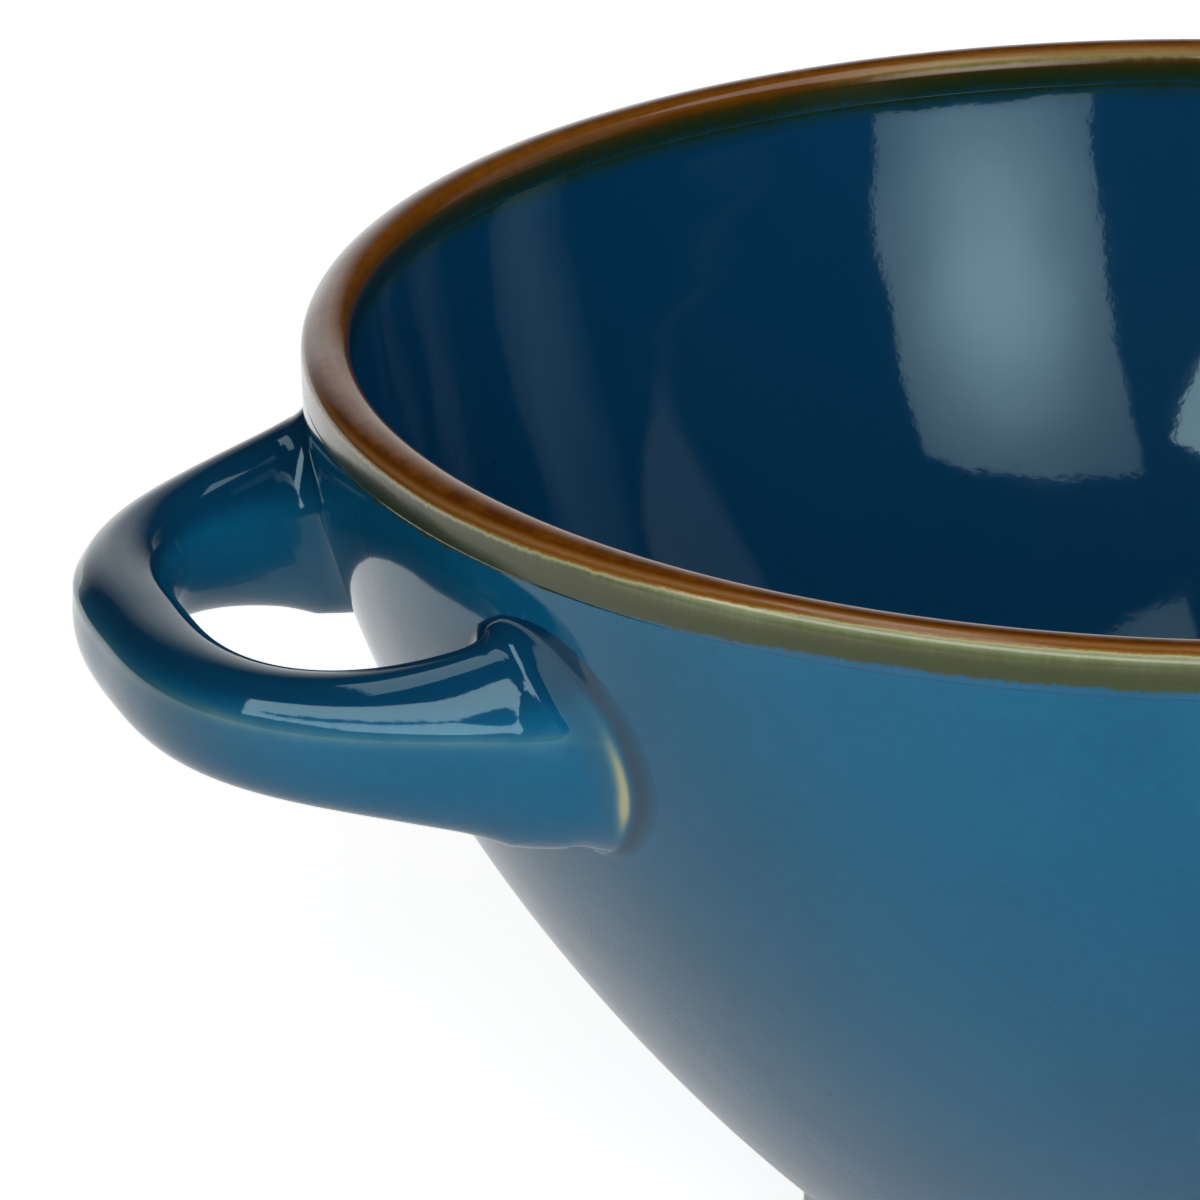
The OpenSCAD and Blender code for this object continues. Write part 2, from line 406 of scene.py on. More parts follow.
def noise(tree, place, scale, detail=2.0, rough=0.5, stretch=None):
    """Noise at a number of waves per metre, stretched along the axes if asked."""
    if stretch:
        place = node(tree, "ShaderNodeMapping", Vector=place, Scale=stretch).outputs[0]
    made = node(tree, "ShaderNodeTexNoise", Vector=place, Scale=scale, Detail=detail, Roughness=rough)
    return made.outputs[0]


def ramp(tree, value, stops):
    """The colour of a Color Ramp node from (position, colour) stops, where a number is a grey."""
    made = tree.nodes.new("ShaderNodeValToRGB")
    elements = made.color_ramp.elements
    while len(elements) > 1:
        elements.remove(elements[-1])
    for i, (position, colour) in enumerate(stops):
        element = elements[0] if i == 0 else elements.new(position)
        element.position = position
        element.color = (*colour, 1.0) if isinstance(colour, tuple) else (colour, colour, colour, 1.0)
    return put(tree, made, _0=value).outputs[0]


def blend(tree, share, a, b):
    """The colour of a Mix node: a where the share is 0, b where it is 1."""
    made = tree.nodes.new("ShaderNodeMix")
    made.data_type = "RGBA"
    a, b = ((*colour, 1.0) if isinstance(colour, tuple) else colour for colour in (a, b))
    return put(tree, made, _0=share, _6=a, _7=b).outputs[2]


def spread(tree, value, low, high, start=0.0, end=1.0):
    """A value from low to high spread from start to end, and held there past them."""
    limits = {"From_Min": low, "From_Max": high, "To_Min": start, "To_Max": end}
    return node(tree, "ShaderNodeMapRange", Value=value, **limits).outputs[0]


def attribute(tree, name):
    """A mesh attribute's value in a shader."""
    made = tree.nodes.new("ShaderNodeAttribute")
    made.attribute_name = name
    return made.outputs["Fac"]


# %% Colours, as linear values
DEEP_BLUE = (0.0025, 0.088, 0.188)
MID_BLUE = (0.0045, 0.112, 0.23)
# The inside blues are the outside blues painted darker, as shade
INSIDE_SHADE_DEEP = (0.001, 0.032, 0.086)
INSIDE_SHADE_MID = (0.0017, 0.043, 0.112)
# For glaze pooled in the roots' creases, and for painted shade on the handles' tops
POOLED_AND_SHADED_BLUE = (0.0016, 0.034, 0.086)
SPECK = (0.004, 0.012, 0.02)
THIN_GREEN = (0.16, 0.33, 0.27)
CREAM = (0.45, 0.42, 0.24)
TAN = (0.26, 0.13, 0.045)
AMBER = (0.2, 0.062, 0.003)
BROWN = (0.105, 0.027, 0.001)
PALE_GREEN = (0.2, 0.24, 0.135)
OLIVE = (0.046, 0.06, 0.022)
DARK_GREEN = (0.009, 0.023, 0.01)
ORANGE = (0.27, 0.1, 0.006)
DARK_CLAY = (0.43, 0.3, 0.18)
CLAY = (0.56, 0.42, 0.27)
PALE_CLAY = (0.66, 0.54, 0.38)
print("blue outside:", DEEP_BLUE, "to", MID_BLUE)

# %% The blue glaze's own colour


def object_place(tree):
    """The place of the shaded point on the object, in metres."""
    return tree.nodes.new("ShaderNodeTexCoord").outputs["Object"]


def blue_glaze_group():
    """Base colour of the blue: cloudy, with fine specks, paler where the glaze is thin, darker where it
    pools, and painted darker as shade inside the bowl and on the handles' tops.
    """
    ins = [(label, "Float", 0.0) for label in ("Run", "Thin", "Pooled")] + [("Specks", "Float", 0.6)]
    tree, given, out = group("blue_glaze_colour", ins, [("Colour", "Color")])
    place = object_place(tree)
    clouds = noise(tree, place, 38, 3, 0.55, (1, 1, 0.55))
    grain = noise(tree, place, 900, 2, 0.6)
    tone = plus(tree, times(tree, clouds, 0.75), times(tree, grain, 0.25))
    colour = ramp(tree, tone, [(0.36, DEEP_BLUE), (0.62, MID_BLUE)])
    # The blue is painted darker inside the bowl, as shade, from 4 to 6 mm past the lip's outer corner
    past = maths(tree, "DIVIDE", given.outputs["Run"], -12 * MM)
    inside = ramp(tree, past, [(0.35, 0.0), (0.5, 1.0)])
    colour = blend(tree, inside, colour, blend(tree, tone, INSIDE_SHADE_DEEP, INSIDE_SHADE_MID))
    # Darker where glaze pools in the roots' creases, and painted shade on the handles' tops
    pool_and_shade = maths(tree, "MULTIPLY", given.outputs["Pooled"], 0.85, clamp=True)
    colour = blend(tree, pool_and_shade, colour, POOLED_AND_SHADED_BLUE)
    wander = times_plus(tree, noise(tree, place, 160, 2), 1.5, 0.2)
    thin = maths(tree, "MULTIPLY", given.outputs["Thin"], wander, clamp=True)
    breaking = ramp(tree, thin, [(0.2, THIN_GREEN), (0.8, CREAM)])
    colour = blend(tree, thin, colour, breaking)
    cells = node(tree, "ShaderNodeTexVoronoi", Vector=place, Scale=260, Randomness=1.0)
    near = ramp(tree, cells.outputs["Distance"], [(0.035, 1.0), (0.07, 0.0)])
    rare = ramp(tree, noise(tree, cells.outputs["Position"], 977, 0), [(0.66, 0.0), (0.67, 1.0)])
    speck = times(tree, times(tree, near, rare), given.outputs["Specks"])
    colour = blend(tree, speck, colour, SPECK)
    put(tree, out, Colour=colour)
    return tree


blue_colour = blue_glaze_group()
print("group:", blue_colour.name, "with", len(blue_colour.nodes), "nodes")

# %% The runs of the second glaze


def lip_glaze_group():
    """The second glaze over the blue, by distance from the lip's outer corner."""
    ins = [("Run", "Float", 0.0), ("Blue", "Color", (0.0, 0.1, 0.2, 1.0))]
    tree, given, out = group("lip_glaze_runs", ins, [("Colour", "Color")])
    place = object_place(tree)
    fine = noise(tree, place, 1500, 3, 0.65, (1, 1, 0.12))
    wide = noise(tree, place, 230, 2, 0.5, (1, 1, 0.3))
    slow = noise(tree, place, 26, 1, 0.5)
    feather = times_plus(tree, fine, 1.0, -0.5)
    waves = times_plus(tree, wide, 0.9, -0.45)
    drift = times_plus(tree, slow, 0.7, -0.35)
    run = maths(tree, "DIVIDE", given.outputs["Run"], MM)
    # The feather grows with the distance from the lip's top, on either side of it
    away = maths(tree, "ABSOLUTE", plus(tree, run, 1.2))
    reach = times_plus(tree, away, 0.15, 0.05)
    shift = times(tree, plus(tree, plus(tree, feather, waves), drift), reach)
    # Over the handles the bowl was dipped a little deeper, so the outer zones lie 1 mm lower
    where = split(tree, place)
    sideways = maths(tree, "ABSOLUTE", where["X"])
    dip = spread(tree, sideways, 50 * MM, 68 * MM, 0.0, -1.0)
    shift = plus(tree, shift, times(tree, dip, spread(tree, run, -2.5, -1.0)))

    # The ramps go from 10 mm inside the lip's outer corner to 6 mm outside it
    from_in, long = 10.0, 16.0
    along = maths(tree, "DIVIDE", plus(tree, plus(tree, run, shift), from_in), long)

    def at(mm):
        """Where a run in millimetres lies on the ramps."""
        return (mm + from_in) / long

    # The tan band near 0.45 mm inside the lip's outer corner and the pale green from 0.3 to 0.9 mm
    # outside it are partly the glaze's colour and partly a painted sheen
    colour = ramp(tree, along, [
        (at(-5.4), (0.006, 0.027, 0.022)), (at(-4.9), DARK_GREEN), (at(-4.3), (0.018, 0.025, 0.006)),
        (at(-3.9), (0.036, 0.027, 0.003)), (at(-3.5), (0.1, 0.033, 0.002)), (at(-2.4), AMBER),
        (at(-1.5), BROWN), (at(-0.95), BROWN), (at(-0.72), AMBER), (at(-0.45), TAN), (at(-0.12), AMBER),
        (at(0.08), (0.27, 0.18, 0.045)), (at(0.2), CREAM), (at(0.32), (0.28, 0.31, 0.18)),
        (at(0.6), PALE_GREEN), (at(0.9), (0.12, 0.145, 0.068)), (at(1.25), (0.07, 0.085, 0.034)),
        (at(1.7), OLIVE), (at(2.2), (0.038, 0.055, 0.02)), (at(3.0), (0.034, 0.062, 0.03)),
    ])
    pale = ramp(tree, along, [(at(0.3), 0.0), (at(0.5), 1.0), (at(1.3), 1.0), (at(1.6), 0.0)])
    at_lugs = spread(tree, sideways, 54 * MM, 62 * MM, 0.0, 0.85)
    colour = blend(tree, times(tree, pale, at_lugs), colour, OLIVE)
    # The inner corner turns tan and cream too, fading in from X = -12 mm to full at X = 0 and beyond
    corner = ramp(tree, along, [
        (at(-3.5), (0.09, 0.085, 0.017)), (at(-3.35), (0.2, 0.17, 0.045)), (at(-3.1), (0.3, 0.21, 0.08)),
        (at(-2.7), (0.3, 0.165, 0.055)), (at(-2.4), (0.24, 0.095, 0.022)),
    ])
    window = ramp(tree, along, [(at(-3.65), 0.0), (at(-3.45), 1.0), (at(-2.6), 1.0), (at(-2.1), 0.0)])
    thin = spread(tree, where["X"], -12 * MM, 0.0)
    colour = blend(tree, times(tree, window, thin), colour, corner)
    streak = noise(tree, place, 420, 3, 0.6, (1, 1, 2.5))
    warm = ramp(tree, streak, [(0.42, 0.0), (0.66, 1.0)])
    on_top = ramp(tree, along, [(at(-3.4), 0.0), (at(-2.6), 1.0), (at(-1.2), 1.0), (at(-0.8), 0.0)])
    warm = times(tree, times(tree, warm, on_top), 0.5)
    colour = blend(tree, warm, colour, ORANGE)
    cover = ramp(tree, along, [(at(-6.4), 0.0), (at(-5.2), 1.0), (at(2.72), 1.0), (at(2.98), 0.0)])
    colour = blend(tree, cover, given.outputs["Blue"], colour)
    put(tree, out, Colour=colour)
    return tree


lip_runs = lip_glaze_group()
print("group:", lip_runs.name, "with", len(lip_runs.nodes), "nodes")

# %% The glaze's ripple
WAVE_H = 0.12 * MM
RIPPLE_H = 0.004 * MM


def ripple_group():
    """Height of the glaze's surface in metres: slow waves and a fine ripple."""
    ins = [("Waves", "Float", 1.0), ("Ripple", "Float", 1.0)]
    tree, given, out = group("glaze_ripple", ins, [("Height", "Float")])
    place = object_place(tree)
    waves = times(tree, noise(tree, place, 95, 1, 0.4), given.outputs["Waves"])
    fine = times(tree, noise(tree, place, 1300, 2, 0.5), given.outputs["Ripple"])
    waves = times(tree, waves, WAVE_H)
    fine = times(tree, fine, RIPPLE_H)
    put(tree, out, Height=plus(tree, waves, fine))
    return tree


ripple = ripple_group()
print("group:", ripple.name, "with", len(ripple.nodes), "nodes")

# %% [markdown]
# ## Materials
# Stoneware glaze is a thin glass over a matt body, and one glossy shader with the right colour
# shows that well enough, as nothing is seen through it. Its mirror image is tinted, because the
# glaze has a colour of its own. The foot is wiped bare where it stands, so its material goes
# from matt clay to the same blue at a wavering edge.

# %% Glaze materials
GLAZE_IOR = 1.5


def use(tree, grouped, **inputs):
    """A node group placed in a material, with its inputs set."""
    made = tree.nodes.new("ShaderNodeGroup")
    made.node_tree = grouped
    return put(tree, made, **inputs)


def new_material(name):
    """A material with its tree and its Principled shader."""
    made = bpy.data.materials.new(name)
    made.use_nodes = True
    tree = made.node_tree
    return made, tree, tree.nodes["Principled BSDF"]


def bumped(tree, height):
    """The facing of a surface whose height is given in metres."""
    return node(tree, "ShaderNodeBump", Strength=1.0, Distance=1.0, Height=height).outputs[0]


def glaze_material(name, roughness, tint):
    """Glassy glaze: the blue, with the second glaze over it near the lip."""
    made, tree, shader = new_material(name)
    run, thin, pooled = (attribute(tree, name) for name in ("run", "thin", "pooled"))
    blue = use(tree, blue_colour, Run=run, Thin=thin, Pooled=pooled)
    runs_over = use(tree, lip_runs, Run=run, Blue=blue.outputs["Colour"])
    facing = bumped(tree, use(tree, ripple).outputs["Height"])
    put(tree, shader, Base_Color=runs_over.outputs["Colour"], Normal=facing)
    put(tree, shader, Roughness=roughness, IOR=GLAZE_IOR, Specular_Tint=(*tint, 1.0))
    return made


blue_glaze = glaze_material("blue_glaze", roughness=0.055, tint=(0.62, 0.95, 1.0))
brown_glaze = glaze_material("brown_glaze", roughness=0.14, tint=(1.0, 0.88, 0.8))
print("glazes:", blue_glaze.name, "and", brown_glaze.name)

# %% Foot material
WIPED_H = 1.9 * MM
WIPED_WAVER = 0.5 * MM
CLAY_ROUGH = 0.85
FOOT_GLAZE_ROUGH = 0.06
CLAY_GRAIN_H = 0.03 * MM
FOOT_COAT_H = 0.1 * MM


def foot_material():
    """Matt, speckled stoneware on the standing face, with blue glaze on the ring's sides above."""
    made, tree, shader = new_material("bare_clay")
    place = object_place(tree)
    grain = noise(tree, place, 1400, 4, 0.65)
    clay = ramp(tree, grain, [(0.3, DARK_CLAY), (0.55, CLAY), (0.75, PALE_CLAY)])
    # The wiped edge of the glaze wavers about its height, and the glaze is thin right above it
    height = split(tree, place)["Z"]
    waver = times_plus(tree, noise(tree, place, 160, 2), WIPED_WAVER, height)
    above = maths(tree, "DIVIDE", maths(tree, "SUBTRACT", waver, WIPED_H), MM)
    glazed = ramp(tree, above, [(0.0, 0.0), (0.1, 1.0)])
    thin = ramp(tree, above, [(0.1, 0.8), (0.5, 0.0)])
    blue = use(tree, blue_colour, Run=attribute(tree, "run"), Thin=thin)
    colour = blend(tree, glazed, clay, blue.outputs["Colour"])
    matt = times_plus(tree, glazed, FOOT_GLAZE_ROUGH - CLAY_ROUGH, CLAY_ROUGH)
    rings = noise(tree, place, 700, 2, 0.5, (0.05, 0.05, 1))
    rough = times(tree, plus(tree, grain, rings), CLAY_GRAIN_H)
    coat = times(tree, glazed, FOOT_COAT_H)
    bare = times(tree, rough, maths(tree, "SUBTRACT", 1.0, glazed))
    facing = bumped(tree, plus(tree, bare, coat))
    put(tree, shader, Base_Color=colour, Roughness=matt, Normal=facing)
    return made


foot_glaze = foot_material()
print("foot:", foot_glaze.name, "up to", WIPED_H / MM, "mm")

# %% [markdown]
# ## The body
# On the real bowl this is the pot itself, with the blue glaze all over it. The skin follows the
# wall, passes under the coat on the lip, and comes down the bore to the middle of the floor.
# Underneath it closes flat inside the foot ring. It could be a wall's surface with a thickness
# added, but the clay is thicker at the foot than at the lip, so both faces are drawn.

# %% Body skin
BODY_SIDES = 288
coat_end = [[BORE_R, RIM_Z - COAT_INNER_H]]
to_heel = np.linspace(0, HEEL_R, 14)[:-1]
underside = np.stack([to_heel, np.full_like(to_heel, FOOT_H)], 1)
body_outline = np.concatenate([underside, wall[::-1], lip(COAT_T), coat_end, bore, dish])
zero = len(underside) + len(wall) + LIP_CORNER
body_runs = runs(body_outline, zero)
body_skin = turn("body_skin", body_outline, body_runs, BODY_SIDES, blue_glaze)

# %% [markdown]
# ## The coat on the lip
# The lip was dipped in a second glaze after the first. It could be no more than a colour on
# the body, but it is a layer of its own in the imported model, so it is one here: 0.4 mm thick,
# closed on its inner side too, and lying in the step that the body's outline leaves for it.

# %% Lip coat
COAT_SIDES = 360
face, back = lip(0), lip(COAT_T)
face_runs, back_runs = runs(face, LIP_CORNER), runs(back, LIP_CORNER)
coat_outline = np.concatenate([face, back[::-1], face[:1]])
coat_runs = np.concatenate([face_runs, back_runs[::-1], face_runs[:1]])
lip_coat = turn("lip_coat", coat_outline, coat_runs, COAT_SIDES, brown_glaze)

# %% [markdown]
# ## The foot
# A turned ring carries the bowl. The potter wipes its standing face clean before firing, so
# that it doesn't stick to the shelf: the ring is bare clay there and glazed on its sides. It is
# turned like the body, with rounded edges below and a soft neck above, which ends on the wall.

# %% The wall's radius at a height
outside = np.concatenate([wall[::-1], lip(0)[:SWEEP_STEPS + 1]])


def wall_radius(z):
    """Radius of the bowl's outside at a height."""
    return np.interp(z, outside[:, 1], outside[:, 0])


print("wall at mid-height:", round(float(wall_radius(RIM_Z / 2)) / MM, 1), "mm in radius")

# %% Foot ring
FOOT_SIDES = 240
FOOT_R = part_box("foot_ring")[1].x
FOOT_W = 5.5 * MM
FOOT_EDGE_R = 1.2 * MM
FOOT_SUNK = 0.3 * MM
NECK_TOP = 9.6 * MM
NECK_DEPTH = 1.2 * MM
NECK_SUNK = 0.03 * MM
foot_in = FOOT_R - FOOT_W
neck_r = wall_radius(NECK_TOP)
# The neck is a soft fillet from the ring's side up to the wall, bent towards a point between
low, bend, top = np.array([
    (FOOT_R - 0.2 * MM, FOOT_H - 1.0 * MM),
    (FOOT_R - 0.4 * MM, FOOT_H + 1.9 * MM),
    (neck_r - NECK_SUNK, NECK_TOP),
])
t = np.linspace(0, 1, 15)[:, None]
neck = (1 - t) ** 2 * low + 2 * (1 - t) * t * bend + t * t * top
inner_top = FOOT_H + FOOT_SUNK
foot_outline = np.concatenate([
    [(HEEL_R - 1 * MM, inner_top)],
    np.linspace((foot_in, inner_top), (foot_in, FOOT_EDGE_R), 9)[:-1],
    arc((foot_in + FOOT_EDGE_R, FOOT_EDGE_R), FOOT_EDGE_R, 180, 270),
    arc((FOOT_R - FOOT_EDGE_R, FOOT_EDGE_R), FOOT_EDGE_R, 270, 360),
    neck,
    [(neck_r - NECK_DEPTH, NECK_TOP)],
])
foot_outline = np.concatenate([foot_outline, foot_outline[:1]])
foot_skin = turn("foot_skin", foot_outline, RIM_Z - foot_outline[:, 1], FOOT_SIDES, foot_glaze)

# %% [markdown]
# ## The handles
# Each handle is a loop cast in a two-part mould and luted on with slip. Seen from above its
# middle line is a rounded rectangle, and its section is nearly an oval that grows towards the
# wall. The mould leaves a low seam along its outer side, over which the glaze breaks pale. A
# bevelled curve would make the loop, but not its ends, so it is written as rings of points,
# because every ring has to know where the round wall is.

# %% Sizes of the handles
grip_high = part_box("right_handle")[1]
GRIP_W = 7.6 * MM
GRIP_H = 9.2 * MM
ROOT_W = 10.7 * MM
ROOT_H = 15.7 * MM
SEAM_H = 0.15 * MM
SEAM_W = 0.55 * MM
SEAM_RISE = 1.9 * MM
ARM_Z = RIM_Z - 16.6 * MM
ARM_SPREAD = 51.0 * MM
ORIGIN_U = RIM_R - 15.75 * MM
GRIP_U = grip_high.x - GRIP_W / 2 - SEAM_H
LOOP_DEPTH = GRIP_U - ORIGIN_U
TAPER_U = WALL_R - WALL_T
GRIP_DROOP = 0.55 * MM
# A square of 2 would be an oval, and a larger one comes nearer to a rectangle
LOOP_SQUARE = 2.77
SECTION_SQUARE = 2.25
# Powers that keep the section's growth towards the root near its top and near its underside
TOP_GROWTH = 2.6
UNDER_GROWTH = 1.4
print("grip:", GRIP_W / MM, "x", GRIP_H / MM, "mm, reaching to", round(grip_high.x / MM, 1))

# %% The handle's section along its middle line


def signed_pow(v, e):
    """A power that keeps the sign."""
    return np.sign(v) * np.abs(v) ** e


def hump(value, middle, width):
    """A bell-shaped share: 1 at the middle, and fading over a width on either side of it."""
    return np.exp(-(((value - middle) / width) ** 2))


def outness(u):
    """How far from the wall to the grip a distance from the axis is, from 0 to 1."""
    return np.clip((u - TAPER_U) / (GRIP_U - TAPER_U), 0, 1)


def section(a, b):
    """Point and facing of the handle's skin, at angle a along the loop and b round the section."""
    u = ORIGIN_U + LOOP_DEPTH * signed_pow(np.cos(a), 2 / LOOP_SQUARE)
    w = ARM_SPREAD / 2 * signed_pow(np.sin(a), 2 / LOOP_SQUARE)
    e = 2 - 2 / LOOP_SQUARE
    across_u = ARM_SPREAD / 2 * np.abs(np.cos(a)) ** e
    across = np.stack([across_u, LOOP_DEPTH * signed_pow(np.sin(a), e), 0 * a], -1)
    across /= np.linalg.norm(across, axis=-1, keepdims=True)
    grown = (1 - outness(u)) ** 2
    half_w = mix(GRIP_W, ROOT_W, grown) / 2
    side = signed_pow(np.cos(b), 2 / SECTION_SQUARE)
    up = signed_pow(np.sin(b), 2 / SECTION_SQUARE)
    # Towards the root the section grows at its top and underside, and its outer side stays round
    swell = np.abs(up) ** np.where(b < math.pi, TOP_GROWTH, UNDER_GROWTH)
    half_h = (GRIP_H + (ROOT_H - GRIP_H) * grown * swell) / 2
    seam = SEAM_H * hump(up * half_h, SEAM_RISE, SEAM_W) * np.sign(side)
    middle = np.stack([u, w, ARM_Z - GRIP_DROOP * outness(u)], -1)
    rise = np.array([0.0, 0.0, 1.0])
    point = middle + (half_w * side + seam)[..., None] * across + (half_h * up)[..., None] * rise
    facing = (side / half_w)[..., None] * across + (up / half_h)[..., None] * rise
    return point, facing / np.linalg.norm(facing, axis=-1, keepdims=True)


print("middle of the grip:", (section(np.array(0.0), np.array(0.0))[0] / MM).round(1), "mm")

# %% [markdown]
# ## The roots of the handles
# The arm's end is pressed on with slip, and the potter wipes the slip round it. A modifier could
# join and round the two bodies, but it would also round the lip and the seam. So each corner of
# the arm's section stops a little before the wall and comes down to it along a curve of its own:
# a plain hollow at the gap side, a flared foot with a round edge at the outer side.

# %% Where the arms meet the wall
CORNERS = 96
HALVINGS = 30
corner_angles = np.linspace(0, 2 * math.pi, CORNERS, endpoint=False)


def stand_off(p):
    """How far points stand out from the bowl."""
    return np.hypot(p[..., 0], p[..., 1]) - wall_radius(p[..., 2])


def on_wall(p, depth):
    """Points moved along their own radius to a depth under the bowl's outside."""
    s = (wall_radius(p[..., 2]) - depth) / np.hypot(p[..., 0], p[..., 1])
    return p * np.stack([s, s, np.ones_like(s)], -1)


def angle_at(gap, b):
    """For each corner, the angle at which its line comes down to a gap from the bowl."""
    low, high = np.zeros_like(b), np.full_like(b, math.pi / 2)
    for _ in range(HALVINGS):
        middle = (low + high) / 2
        out = stand_off(section(middle, b)[0]) > gap
        low, high = np.where(out, middle, low), np.where(out, high, middle)
    return (low + high) / 2


meet_a = angle_at(0.0, corner_angles)
met = section(meet_a, corner_angles)[0]
print("the arms' outer sides meet the wall", round(float(met[0, 1]) / MM, 1), "mm off the middle")

# %% The root of an arm, corner by corner


def through(a, b, c, d, f):
    """The point at share f from b to c of a smooth curve through four values."""
    square, cube = 2 * a - 5 * b + 4 * c - d, 3 * b - a - 3 * c + d
    return 0.5 * (2 * b + (c - a) * f + square * f**2 + cube * f**3)


def by_corner(*values):
    """A smooth ring through values at every 45 degrees round the section from its outer side."""
    place = corner_angles / (math.pi / 4)
    first = place.astype(int)
    return through(*(np.array(values)[(first + i) % 8] for i in (-1, 0, 1, 2)), place - first)


# How far from the wall each corner leaves the arm, how far along the wall it goes, how much the
# arm swells before that, and how much of a flared foot it has
#                    outer     top       gap side  under
root_run = by_corner(2.0, 1.8, 2.2, 3.2, 3.4, 3.0, 2.4, 2.0) * MM
root_spread = by_corner(7.6, 6.0, 1.8, 2.4, 2.4, 1.6, 0.6, 3.4) * MM
root_grow = by_corner(0.5, 0.4, 0.4, 0.5, 0.0, 0.1, 0.8, 0.9) * MM
root_flange = np.clip(by_corner(1.0, 0.7, 0.1, 0.2, 0.0, 0.1, 0.4, 1.0), 0, 1)
GROW_OVER = 8.5 * MM
start_a = angle_at(root_run, corner_angles)
print("root: reaches", round(float(root_spread.max()) / MM, 1), "mm over the wall at most")

# %% Even steps along the loop
LOOP_STEPS = 2000
LOOP_CROWDING = 1.6
# The angle for each length of the loop's middle line, with more steps where the grip turns
table_a = math.pi / 2 * signed_pow(np.linspace(-1, 1, LOOP_STEPS + 1), LOOP_CROWDING)
table_u = LOOP_DEPTH * signed_pow(np.cos(table_a), 2 / LOOP_SQUARE)
table_w = ARM_SPREAD / 2 * signed_pow(np.sin(table_a), 2 / LOOP_SQUARE)
table_s = np.concatenate([[0], np.cumsum(np.hypot(np.diff(table_u), np.diff(table_w)))])
table_s -= table_s[LOOP_STEPS // 2]
start_s = np.interp(start_a, table_a, table_s)
meet_s = np.interp(meet_a, table_a, table_s)


def arm_skin(s):
    """The skin at signed lengths s along the loop, one for each corner, with the root's growth."""
    point, facing = section(np.interp(s, table_s, table_a), corner_angles)
    grown = smooth(np.clip((np.abs(s) - meet_s[0] + GROW_OVER) / GROW_OVER, 0, 1))
    return point + (root_grow * grown)[:, None] * facing, facing


print("loop:", round(float(np.ptp(table_s)) / MM, 1), "mm along its middle line")

# %% Profile of the root
# Distance from the wall and distance along it, as shares of the run and the spread. Slip that is
# wiped smooth falls in one hollow. On the outer side the arm ends in a flared foot with a round
# edge, and the wiped slip goes on from under it as a shallow band.
step = np.linspace(0, 1, 8)
wiped = np.stack([(1 - step) ** 2, step**2], 1)
edged = np.array([
    (1.0, 0.0), (0.7, 0.02), (0.45, 0.09), (0.27, 0.24),
    (0.15, 0.4), (0.045, 0.5), (0.03, 0.7), (0.0, 1.0),
])
ROOT_RINGS = 36
ROOT_TUCK = 0.03 * MM
ROOT_SUNK = 1.5 * MM


def spline(knots, t):
    """A smooth curve through knots at even steps of t from 0 to 1."""
    padded = np.concatenate([[2 * knots[0] - knots[1]], knots, [2 * knots[-1] - knots[-2]]])
    place = t * (len(knots) - 1)
    first = min(int(place), len(knots) - 2)
    return through(*padded[first:first + 4], place - first)


def outwards(p):
    """Level direction away from the bowl's axis."""
    flat = p * (1, 1, 0)
    return flat / np.linalg.norm(flat, axis=-1, keepdims=True)


def root_rings(side):
    """Rings of one root from the arm to the wall, and how far along each is."""
    start = arm_skin(side * start_s)[0]
    meet, facing = arm_skin(side * meet_s)
    foot_of = on_wall(meet, 0)
    leftover = start - foot_of - root_run[:, None] * outwards(foot_of)
    for t in np.linspace(0, 1, ROOT_RINGS + 1):
        d, e = mix(spline(wiped, t)[:, None], spline(edged, t)[:, None], root_flange)
        base = on_wall(meet + (e * root_spread)[:, None] * facing, 0)
        off = (d * root_run - ROOT_TUCK * t)[:, None]
        yield base + off * outwards(base) + d[:, None] * leftover, t
    yield on_wall(base, ROOT_SUNK), 1.0


# %% Rings of the handle
ARM_RINGS = 190
rings = [(ring, -t) for ring, t in root_rings(-1)][::-1]
for share in np.linspace(-1, 1, ARM_RINGS + 1)[1:-1]:
    rings.append((arm_skin(share * start_s)[0], 0.0))
rings += list(root_rings(1))
points = np.concatenate([ring for ring, _ in rings])
along = np.repeat([t for _, t in rings], CORNERS)
print("handle:", len(rings), "rings of", CORNERS)

# %% [markdown]
# ## Thin and pooled glaze, and painted shade
# In the kiln the glaze draws back from edges and gathers in hollows. A shader can look for edges
# by itself, but it finds all of them alike. The rings know where the seam, the round edge and
# the creases are, so each point of a handle carries how thin or pooled the glaze is there. The
# tops of the arms carry a painted shade in the same value as the pooling.

# %% Where the glaze is thin or pooled on a handle
SEAM_SHOWS_W = 0.45 * MM
EDGE_AT, EDGE_W = 0.58, 0.08
# The pale edge lies this many radians under the outer side of the section, and fades this far on
EDGE_UNDER, EDGE_REACH = 0.25, 0.2
CREASE_AT, CREASE_W = 0.8, 0.12
SEAM_THIN, EDGE_THIN, CREASE_POOLED = 0.3, 1.3, 1.2


def glaze_on_handle():
    """For each point, the run from the lip, how thin the blue glaze is, how much it pools, and the
    painted shade on the arms' tops.
    """
    corner = np.tile(corner_angles, len(rings))
    out = outness(np.hypot(points[:, 0], points[:, 1]))
    over_seam = points[:, 2] - (ARM_Z + SEAM_RISE - GRIP_DROOP * out)
    seam = hump(over_seam, 0, SEAM_SHOWS_W) * (1 - np.abs(along)) ** 2 * (np.cos(corner) > 0)
    # The glaze breaks to cream over the round edge at the outer underside of the root
    round_edge = hump(np.sin((corner + EDGE_UNDER) / 2), 0, EDGE_REACH)
    edge = hump(np.abs(along), EDGE_AT, EDGE_W) * round_edge
    crease = hump(np.abs(along), CREASE_AT, CREASE_W) * np.tile(root_flange, len(rings))
    # On the top of the arms the blue is painted darker, as shade
    on_top = smooth(np.clip((np.sin(corner) - 0.4) / 0.4, 0, 1))
    thin = SEAM_THIN * seam + EDGE_THIN * edge
    return {"run": RIM_Z - points[:, 2], "thin": thin, "pooled": CREASE_POOLED * crease + on_top}


handle_glaze = glaze_on_handle()
print("thinnest on the handle:", round(float(handle_glaze["thin"].max()), 2))

# %% Handle meshes


